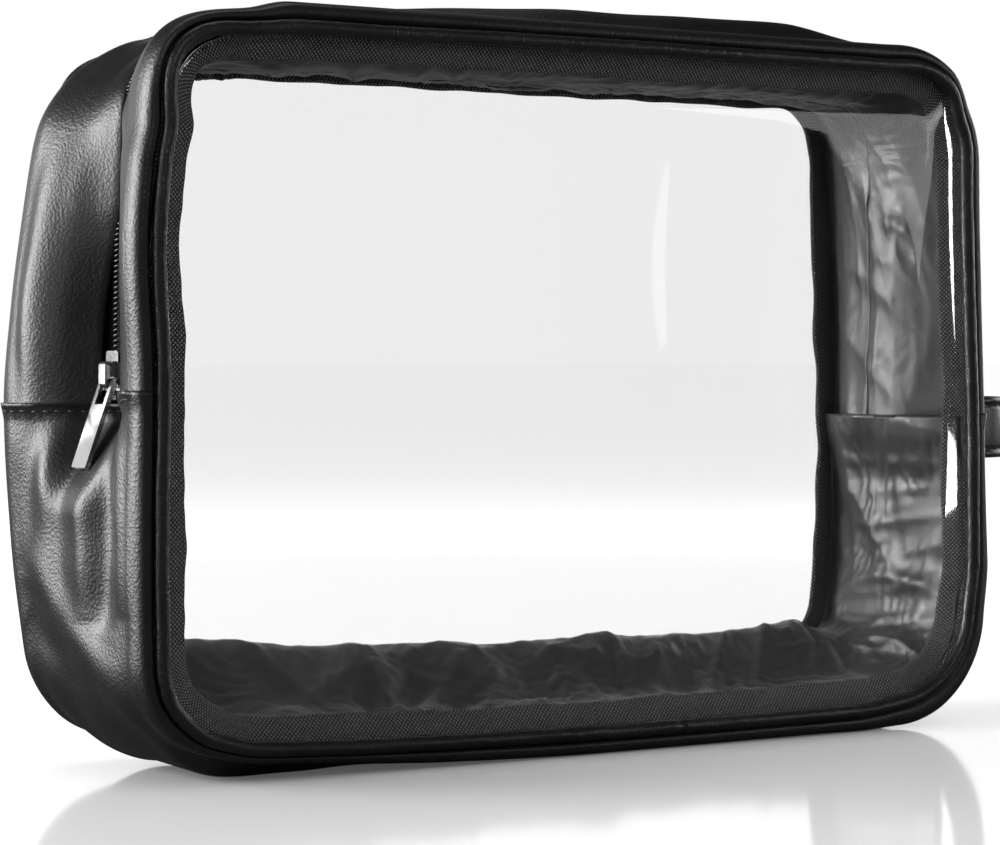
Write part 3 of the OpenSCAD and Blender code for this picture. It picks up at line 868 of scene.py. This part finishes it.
def build_lower_gusset():
    """One strip from seam to seam under the bag, with rolled sides, folds and a stitched hem at each end."""
    rows_s = np.arange(LOWER[0] - 0.3 * MM, LOWER[1] + 0.3 * MM, 1.05 * MM)
    count = len(rows_s)
    near = np.minimum(rows_s - LOWER[0], LOWER[1] - rows_s)
    _, n = seam_line(rows_s)
    middle = middle_shift(rows_s) / MM
    full = FLAT_U - 0.5 * np.clip(middle, -9, 0) * smooth(0.6, 1.0, -n[:, 1])
    dip = 1 - smooth(0, DIP_LENGTH, near / MM)
    floor_u = (full + middle) * (1 - dip) + DIP_U * dip
    proud = 0.9 * (1 - smooth(0, 6, near / MM))
    depth = DEPTH / MM
    curve = []
    for is_front in (True, False):
        seam = seam_shift(rows_s, half_of(is_front)[1]) / MM
        roll = roll_points(rows_s, is_front)
        top = roll[-1][0] + seam
        flat = full + seam * 0.75 + middle * 0.25
        side = [(u + seam + (proud if i > 1 else 0), d) for i, (u, d) in enumerate(roll)]
        side += [(flat * (1 - dip) + (top + (floor_u - top) * part) * dip + proud, d)
                 for part, d in zip(fold_shares(is_front), (13.0, 20.5))]
        side.append((floor_u + proud, 27.0))
        curve += side if is_front else [(u, depth - d) for u, d in side[::-1]]
    curve.insert(9, (floor_u + proud, depth / 2))
    curve = curve_through(broadcast_points(curve, count), LOWER_COLUMNS)
    u, y = curve[..., 0].T * MM, FRONT_Y + curve[..., 1].T * MM
    u = u - seam_shift(rows_s[:, None], y)
    s = np.broadcast_to(rows_s[:, None], u.shape)
    s = s + hem_slant(y) * (1 - smooth(0, 30 * MM, LOWER[1] - s))
    u = u + lower_folds(s, y) * smooth(0, 6 * MM, near)[:, None]
    # The hems: a fat folded edge, a soft groove along its stitching, and puckers between the stitches
    hold = smooth(1.5 * MM, 4 * MM, y - FRONT_Y) * smooth(1.5 * MM, 4 * MM, BACK_Y - y)
    puckers = np.cos(2 * math.pi * y / STITCH_PITCH) * 0.16 * MM
    for edge in (LOWER[1] - rows_s, rows_s - LOWER[0]):
        raised = (1 - smooth(HEM_H - 0.3 * MM, HEM_H + 1.1 * MM, edge)) * 0.6 * MM
        raised = raised + bump(edge, 0.9 * MM, 1.1 * MM) * 0.55 * MM
        groove = bump(edge, 2.7 * MM, 0.8 * MM) * 0.45 * MM
        u = u + ((raised - groove)[:, None] + bump(edge, 3.2 * MM, 1.5 * MM)[:, None] * puckers) * hold
    doubled = 1.5 * MM * (1 - smooth(HEM_H - 0.5 * MM, HEM_H + 0.5 * MM, near))[:, None]
    piece, outer = closed_sweep("lower_gusset_shell", s, u, y, SHELL_T + doubled, GUSSET_LEATHER)
    claim(piece, "leather", "lower_gusset")
    for label, edge in (("left", LOWER[1] - rows_s), ("right", rows_s - LOWER[0])):
        row = int(np.argmin(np.abs(edge - 2.5 * MM)))
        line = outer[row]
        keep = (line[:, 1] > FRONT_Y + 1.5 * MM) & (line[:, 1] < BACK_Y - 1.5 * MM)
        starts, along, out = stitch_run(line[keep], normals_of(outer)[row][keep], 1 * MM, 3 * MM)
        out = out * np.sign(np.sum(out * outward_at(starts), 1, keepdims=True))
        piece = stitches_piece(label + "_hem_stitching", [(starts, along, out)])
        claim(piece, "thread", label + "_seam_stitches")


# ---------- Piping, windows and bindings ----------

CORD_R = 1.3 * MM
# Where the sleeve's ends butt together under the bag, before the end of the loop
FRONT_JOINT, BACK_JOINT = 26 * MM, 40 * MM
BINDING_T = 1.25 * MM


def build_piping(is_front):
    label, plane, sign = half_of(is_front)
    s = np.arange(0, LOOP, 0.9 * MM)
    wander = soft_noise(s, 0 * s, 31 if is_front else 37, waves=7, lowest=5, highest=22) * 0.16 * MM
    path = placed(s, -PIPING_R + 0.1 * MM + wander, plane + sign * (PIPING_R - 0.5 * MM))
    sides = 22
    a = np.arange(sides) / sides * 2 * math.pi
    wrinkle = soft_noise(s[:, None], a[None] * 0.004, 41, waves=16, lowest=90, highest=320)
    swell = soft_noise(s[:, None], 0 * a[None], 43, waves=6, lowest=12, highest=60)
    joint = LOOP - (FRONT_JOINT if is_front else BACK_JOINT)
    gap = 1 - 0.22 * bump(s, joint, 0.8 * MM)[:, None]
    radius = (PIPING_R + 0.035 * MM * wrinkle + 0.03 * MM * swell) * gap
    piece = tube_piece(label + "_piping", path, radius, PIPING_LEATHER, sides=sides, closed=True)
    claim(piece, "leather", label + "_piping_sleeve")
    core = tube_piece(label + "_piping_core", path, CORD_R, CORD_WEAVE, sides=10, closed=True)
    claim(core, "cord", label + "_piping_cord")


def build_window(is_front):
    """A clear sheet from just under the piping across the whole panel, gently domed."""
    label, plane, sign = half_of(is_front)
    s = np.linspace(0, LOOP, 420, endpoint=False)
    rim = placed(s, -0.4 * MM, 0)[:, (0, 2)]
    centre = np.array([0, (LOW_Z + HIGH_Z) / 2])
    t = np.concatenate([[0, 0.012, 0.03, 0.055, 0.085, 0.12], np.linspace(0.17, 0.98, 26)])
    flat = rim[None] * (1 - t[:, None, None]) + centre * t[:, None, None]
    inward = np.linalg.norm(rim[None] - flat, axis=-1)
    edge = np.minimum(HALF_W - np.abs(flat[..., 0]),
                      (HIGH_Z - LOW_Z) / 2 - np.abs(flat[..., 1] - centre[1]))
    dome = WINDOW_DOME * smooth(0, 20 * MM, np.maximum(edge, inward * 0.4)) * smooth(0, 6 * MM, inward)
    waves = soft_noise(flat[..., 0], flat[..., 1], 51 if is_front else 57, waves=8, lowest=2.5, highest=9)
    dome = dome + waves * 0.5 * MM * smooth(6 * MM, 40 * MM, inward)
    face = np.stack([flat[..., 0], plane + sign * (dome - 0.1 * MM), flat[..., 1]], -1)
    rows, columns = face.shape[:2]
    back = face - np.array([0, sign * WINDOW_T, 0])
    count = rows * columns
    front_faces = grid_faces(rows, columns, wrap_columns=True)
    faces = front_faces.tolist() + (front_faces[:, ::-1] + count).tolist()
    i = np.arange(columns)
    after = (i + 1) % columns
    faces += np.stack([after, i, i + count, after + count], -1).tolist()
    hubs = [face[-1].mean(0), back[-1].mean(0)]
    last = (rows - 1) * columns
    faces += [[last + int(a), last + int(b), 2 * count] for a, b in zip(i, after)]
    faces += [[count + last + int(b), count + last + int(a), 2 * count + 1] for a, b in zip(i, after)]
    points = np.concatenate([face.reshape(-1, 3), back.reshape(-1, 3), np.array(hubs)])
    piece = mesh_piece(label + "_clear_panel", points, faces, PVC)
    claim(piece, "clear_sheet", label + "_window")


def binding_tilt(s, is_front):
    """How wide (mm) the bound seam allowance looks in the window plane, and how deep it leans."""
    _, n = seam_line(s)
    left = smooth(0.3, 0.9, -n[..., 0])
    right = smooth(0.3, 0.9, n[..., 0])
    wide = 9.0 + 1.6 * left - 1.6 * right if is_front else 9.4 + 3.2 * right
    deep = 3.4 - 0.6 * left + 1.2 * right
    return wide, deep


def build_binding(is_front):
    """Woven tape folded over the seam allowance, inside the window."""
    label, plane, sign = half_of(is_front)
    s = np.arange(0, LOOP, 0.9 * MM)
    wide, deep = binding_tilt(s, is_front)
    uneven = soft_noise(s, 0 * s, 61 if is_front else 67, waves=14, lowest=15, highest=160)
    uneven_2 = soft_noise(s, 0 * s, 71 if is_front else 77, waves=9, lowest=8, highest=60)
    wide = wide + 0.18 * uneven
    deep = deep + 0.45 * uneven_2
    plane = plane - sign * 0.75 * MM
    shares = np.linspace(0, 1, 16)
    u = -0.6 * MM - shares[None] * wide[:, None] * MM
    y = plane - sign * (shares[None] ** 1.3 * deep[:, None] * MM)
    u_back = u + 0.35 * MM
    y_back = y - sign * BINDING_T
    nose_u = (u[:, -1:] + u_back[:, -1:]) / 2 - 0.5 * MM
    nose_y = (y[:, -1:] + y_back[:, -1:]) / 2
    loop_u = np.concatenate([u, nose_u, u_back[:, ::-1]], 1)
    loop_y = np.concatenate([y, nose_y, y_back[:, ::-1]], 1)
    v = np.concatenate([shares * 9 * MM, [9.6 * MM], 10.2 * MM + (1 - shares[::-1]) * 9 * MM])
    loop_s = np.broadcast_to(s[:, None], loop_u.shape)
    points = placed(loop_s, loop_u, loop_y)
    faces = grid_faces(*loop_u.shape, wrap_rows=True, wrap_columns=True)
    uv = np.stack(np.broadcast_arrays(loop_s, v[None]), -1)
    piece = mesh_piece(label + "_binding", points, faces, BINDING_WEAVE, uv)
    claim(piece, "binding", label + "_seam_binding")


# ---------- Linings ----------

# The linings' place: in from the seam planes, under the zip, and the slit between the two strips
LINING_IN, LINING_UNDER, LINING_SLIT = 2.2 * MM, 3.6 * MM, 0.12 * MM


def lining_sheet(name, s, u, y, node):
    piece, _ = closed_sweep(name, s, u, y, LINING_T, SATIN)
    claim(piece, "lining", node)


def build_zip_lining(is_front):
    """The cloth under one upper strip, slack between the seam and the zip."""
    label, plane, sign = half_of(is_front)
    rows_s = np.arange(UPPER[0] - 2 * MM, UPPER[1] + 2 * MM, 1.2 * MM)
    s, d = np.meshgrid(rows_s, np.linspace(LINING_IN, DEPTH / 2 - LINING_SLIT, 38), indexing="ij")
    line = (zip_line(rows_s) - LINING_UNDER)[:, None]
    seam_u = -3.0 * MM
    share = smooth(2 * MM, 25 * MM, d)
    y = plane - sign * d
    slack = 0.3 * (1 + soft_noise(s, y, 81, waves=12, lowest=9, highest=48))
    slack = slack + wrinkles(s, y, 181, 11, 80, count=9, angle=0.5) * 1.3
    slack = slack + wrinkles(s, y, 185, 50, 190, angle=0.2) * 0.35
    hold = np.sin(np.pi * np.clip((d - 2 * MM) / (62 * MM), 0, 0.5)) ** 0.7
    u = seam_u * (1 - share) + line * share - (0.6 + slack) * MM * hold
    if not is_front:
        s, u, y = s[:, ::-1], u[:, ::-1], y[:, ::-1]
    lining_sheet(label + "_top_lining", s, u, y, label + "_zip_lining")


def build_lower_lining():
    """The cloth along the lower gusset, heaped up against the back along the bag's bottom."""
    rows_s = np.arange(LOWER[0] + 0.5 * MM, LOWER[1] - 0.5 * MM, 1.2 * MM)
    s, y = np.meshgrid(rows_s, np.linspace(FRONT_Y + LINING_IN, BACK_Y - LINING_IN, 76), indexing="ij")
    _, n = seam_line(rows_s)
    base = smooth(0.2, 0.95, -n[:, 1])[:, None]
    near = np.minimum(rows_s - LOWER[0], LOWER[1] - rows_s)[:, None]
    dip = 1 - smooth(0, 22 * MM, near)
    middle = np.sin(np.pi * np.clip((y - FRONT_Y - LINING_IN) / (DEPTH - 2 * LINING_IN), 0, 1))
    slack = soft_noise(s, y, 91, waves=14, lowest=8, highest=42) * 0.5
    slack = slack + wrinkles(s, y, 191, 11, 70, count=9, angle=0.6) * 2.8
    fine = wrinkles(s, y, 197, 50, 190, angle=0.9) * 2.2
    depth = (3.4 + 5.2 * dip) * (middle ** 0.6) * MM
    wall = (0.9 * slack + 0.25 * fine) * MM * middle ** 0.5
    heap = smooth(-6 * MM, 22 * MM, y) * (1 - smooth(25 * MM, 31 * MM, y) * 0.55)
    along = seam_line(s)[0][..., 0] / HALF_W
    rise = (17 - 3.0 * along + 0.5 * soft_noise(s, 0 * y, 93, waves=6, lowest=4, highest=16)) * MM * heap
    top = smooth(14 * MM, 24 * MM, y)
    rise = rise + (wrinkles(s, y, 199, 9, 50, angle=0.3) * 2.4 - 1.0) * MM * heap * (1 - top)
    wall = wall * (1 - 0.8 * top * base)
    u = -3.2 * MM - depth - wall - rise * base - seam_shift(s, y) * dip
    lining_sheet("lower_lining_cloth", s, u, y, "lower_lining")


# ---------- Grab handle ----------

HANDLE_LOW, HANDLE_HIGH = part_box("handle_face")
HANDLE_Z = (HANDLE_LOW[2] + HANDLE_HIGH[2]) / 2
HANDLE_W = HANDLE_HIGH[2] - HANDLE_LOW[2]
HANDLE_REACH = HANDLE_HIGH[0] - HANDLE_LOW[0]
FACE_T, BACKING_T = 1.6 * MM, 1.0 * MM


def handle_path(t, inset=0.0):
    """Centre line of the arch in plan: points (x, y) and outward normals for t from 0 to 1."""
    a = (t - 0.5) * math.pi
    half = (HANDLE_HIGH[1] - HANDLE_LOW[1]) / 2
    shape = 0.86
    c, w = np.cos(a), np.sin(a)
    x = HANDLE_LOW[0] - 1.0 * MM + (HANDLE_REACH + 1.0 * MM - inset) * np.sign(c) * np.abs(c) ** shape
    y = (half - inset) * np.sign(w) * np.abs(w) ** 0.97
    p = np.stack([x, y], -1)
    tangent = unit(np.gradient(p, axis=0))
    return p, np.stack([tangent[:, 1], -tangent[:, 0]], -1)


def handle_layer(path, normal, z, offset):
    """A grid of points at heights z, standing out from the arch by an offset."""
    offset = np.broadcast_to(offset, (len(path), len(z)))
    plan = path[:, None] + normal[:, None] * offset[..., None]
    return np.concatenate([plan, np.broadcast_to(z[:, None], (*offset.shape, 1))], -1)


def build_handle():
    """A padded strap, its thin backing, and the stitching along both edges."""
    t = np.linspace(0.012, 0.988, 120)
    p, n = handle_path(t)
    half = HANDLE_W / 2
    v = np.linspace(-1, 1, 41)
    # Padded middle, a stitched groove, and a raised rim along both edges
    groove = 0.72
    across = np.abs(v)
    crown = 0.9 * (1 - across ** 2.4) + 0.75 * bump(across, 0.88, 0.10) - 0.55 * bump(across, groove, 0.05)
    puckers = soft_noise(t[:, None] * 0.09, v[None] * 0.009, 101, waves=12, lowest=20, highest=120) * 0.12
    hold = smooth(0, 0.12, t) * smooth(0, 0.12, 1 - t)
    outer = (crown[None] * (0.55 + 0.45 * hold[:, None]) + puckers) * MM - 0.9 * MM
    z = HANDLE_Z + v * half
    face = handle_layer(p, n, z, outer)
    under = handle_layer(p, n, z, -FACE_T)
    run = run_of(p)[:, None]
    uv = np.stack(np.broadcast_arrays(run, (v * half)[None]), -1)
    piece = slab_piece("handle_strap", face, under, HANDLE_LEATHER, uv)
    claim(piece, "leather", "handle_face")
    p2, n2 = handle_path(t, inset=1.75 * MM)
    v2 = np.linspace(-1, 1, 21)
    z2 = HANDLE_Z + v2 * (half - 0.6 * MM)
    dip = -0.25 * MM * (1 - np.abs(v2) ** 3)
    uv = np.stack(np.broadcast_arrays(run, (v2 * half)[None]), -1)
    lining = [handle_layer(p2, n2, z2, dip - inward) for inward in (0.0, BACKING_T)]
    piece = slab_piece("handle_lining_strap", *lining, HANDLE_LEATHER, uv)
    claim(piece, "leather", "handle_backing")
    runs = []
    for side in (-1, 1):
        path = face[:, int(np.argmin(np.abs(v - side * groove)))]
        starts, along, out = stitch_run(path, np.concatenate([n, 0 * n[:, :1]], 1), 3 * MM, 4 * MM, 3.8 * MM)
        runs.append((starts, along, unit(out)))
    claim(stitches_piece("handle_topstitching", runs), "thread", "handle_stitches")


# ---------- The kept CAD nodes ----------

def finish_cad_nodes():
    finishes = {"slider_body": CHROME, "slider_bridge": CHROME, "slider_lock_spring": SPRING_STEEL,
                "puller_tab": CHROME, "closed_end_stops": CHROME, "open_end_stop": CHROME}
    for name, material in finishes.items():
        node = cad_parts[name]
        for index in range(max(1, len(node.material_slots))):
            if node.material_slots:
                node.material_slots[index].material = material
            else:
                node.data.materials.append(material)


# ---------- Camera, light and floor ----------

def build_camera():
    """The photograph's camera: level, at the slider's height, turned to look from the front left."""
    data = bpy.data.cameras.new("photo_camera")
    data.lens = 115.2
    data.sensor_width = 36
    data.shift_y = -0.0601
    data.clip_start = 0.01
    camera = bpy.data.objects.new("photo_camera", data)
    camera.location = (-0.5253, -0.7513, 0.1090)
    camera.rotation_euler = (math.pi / 2, 0, -math.radians(34.36))
    bpy.context.scene.collection.objects.link(camera)
    bpy.context.scene.camera = camera


def softbox(name, place, target, size, power, roll=0.0):
    """A soft rectangular lamp that only its light and reflections show."""
    data = bpy.data.lights.new(name, "AREA")
    data.shape = "RECTANGLE"
    data.size, data.size_y = size
    data.energy = power
    lamp = bpy.data.objects.new(name, data)
    lamp.location = place
    aim = Vector(target) - Vector(place)
    facing = aim.to_track_quat("-Z", "Y").to_matrix()
    lamp.rotation_euler = (facing @ Matrix.Rotation(roll, 3, "Z")).to_euler()
    lamp.visible_camera = False
    bpy.context.scene.collection.objects.link(lamp)


def build_light():
    """A big softbox behind the left, sheens for the clear sheet at the right, and weak fills."""
    softbox("left_softbox", (-1.20, 0.64, 0.34), (-0.14, 0, 0.1), (0.85, 0.8), 37)
    softbox("front_left_strip", (-1.3, -0.5, 0.5), (-0.14, 0, 0.1), (0.10, 0.9), 1.6)
    softbox("wide_sheen", (1.62, -1.40, 0.50), (0.1, 0, 0.15), (0.75, 0.42), 1.35, roll=math.radians(24))
    softbox("near_sheen", (1.66, -1.36, 0.48), (0.1, 0, 0.15), (0.42, 0.24), 0.3, roll=math.radians(24))
    softbox("right_strip", (1.45, -0.72, 0.30), (0.13, 0, 0.1), (0.08, 0.8), 3.4)
    softbox("right_fill", (1.5, 0.45, 0.35), (0.14, 0, 0.1), (0.5, 0.7), 5)
    softbox("top_softbox", (0.0, 0.35, 1.5), (0, 0, 0.1), (1.3, 0.5), 3.5)
    softbox("inside_light", (-0.35, -1.5, 1.0), (0.1, 0, 0.08), (0.5, 0.3), 4)


def build_world():
    """White to look at and as light, but mirrored as a dark room with a low bright wall behind the bag."""
    world = bpy.data.worlds.new("studio")
    world.use_nodes = True
    tree = world.node_tree
    tree.nodes.clear()
    add, join = tree.nodes.new, tree.links.new
    split = add("ShaderNodeSeparateXYZ")
    join(add("ShaderNodeTexCoord").outputs["Generated"], split.inputs[0])
    wall = add("ShaderNodeMath")
    wall.operation = "MULTIPLY"
    fades = (("Y", 0.45, 0.75, 0.015), ("Z", 0.40, 0.20, 0.03))
    for index, (axis, dark_at, bright_at, dark) in enumerate(fades):
        fade = add("ShaderNodeMapRange")
        for key, value in (("From Min", dark_at), ("From Max", bright_at), ("To Min", dark)):
            fade.inputs[key].default_value = value
        join(split.outputs[axis], fade.inputs["Value"])
        join(fade.outputs["Result"], wall.inputs[index])
    white, room = add("ShaderNodeBackground"), add("ShaderNodeBackground")
    white.inputs["Color"].default_value = (1, 1, 1, 1)
    join(wall.outputs[0], room.inputs["Color"])
    mirrored = add("ShaderNodeMath")
    mirrored.operation = "MINIMUM"
    mirrored.inputs[1].default_value = 1.0
    join(add("ShaderNodeLightPath").outputs["Glossy Depth"], mirrored.inputs[0])
    mix = add("ShaderNodeMixShader")
    for source, socket in ((mirrored, 0), (white, 1), (room, 2)):
        join(source.outputs[0], mix.inputs[socket])
    join(mix.outputs[0], add("ShaderNodeOutputWorld").inputs["Surface"])
    bpy.context.scene.world = world


def build_floor():
    bpy.ops.mesh.primitive_plane_add(size=200, location=(0, 0, 0))
    floor = bpy.context.object
    floor.name = "floor"
    floor.data.materials.append(FLOOR)


build_camera()
for front_side in (True, False):
    build_strip(front_side)
    build_tape(front_side)
    build_coil(front_side)
    build_tape_stitching(front_side)
    build_piping(front_side)
    build_window(front_side)
    build_binding(front_side)
build_lower_gusset()
for front_side in (True, False):
    build_zip_lining(front_side)
build_lower_lining()
build_handle()
finish_cad_nodes()
build_light()
build_world()
build_floor()
bpy.context.scene.view_settings.view_transform = "Standard"
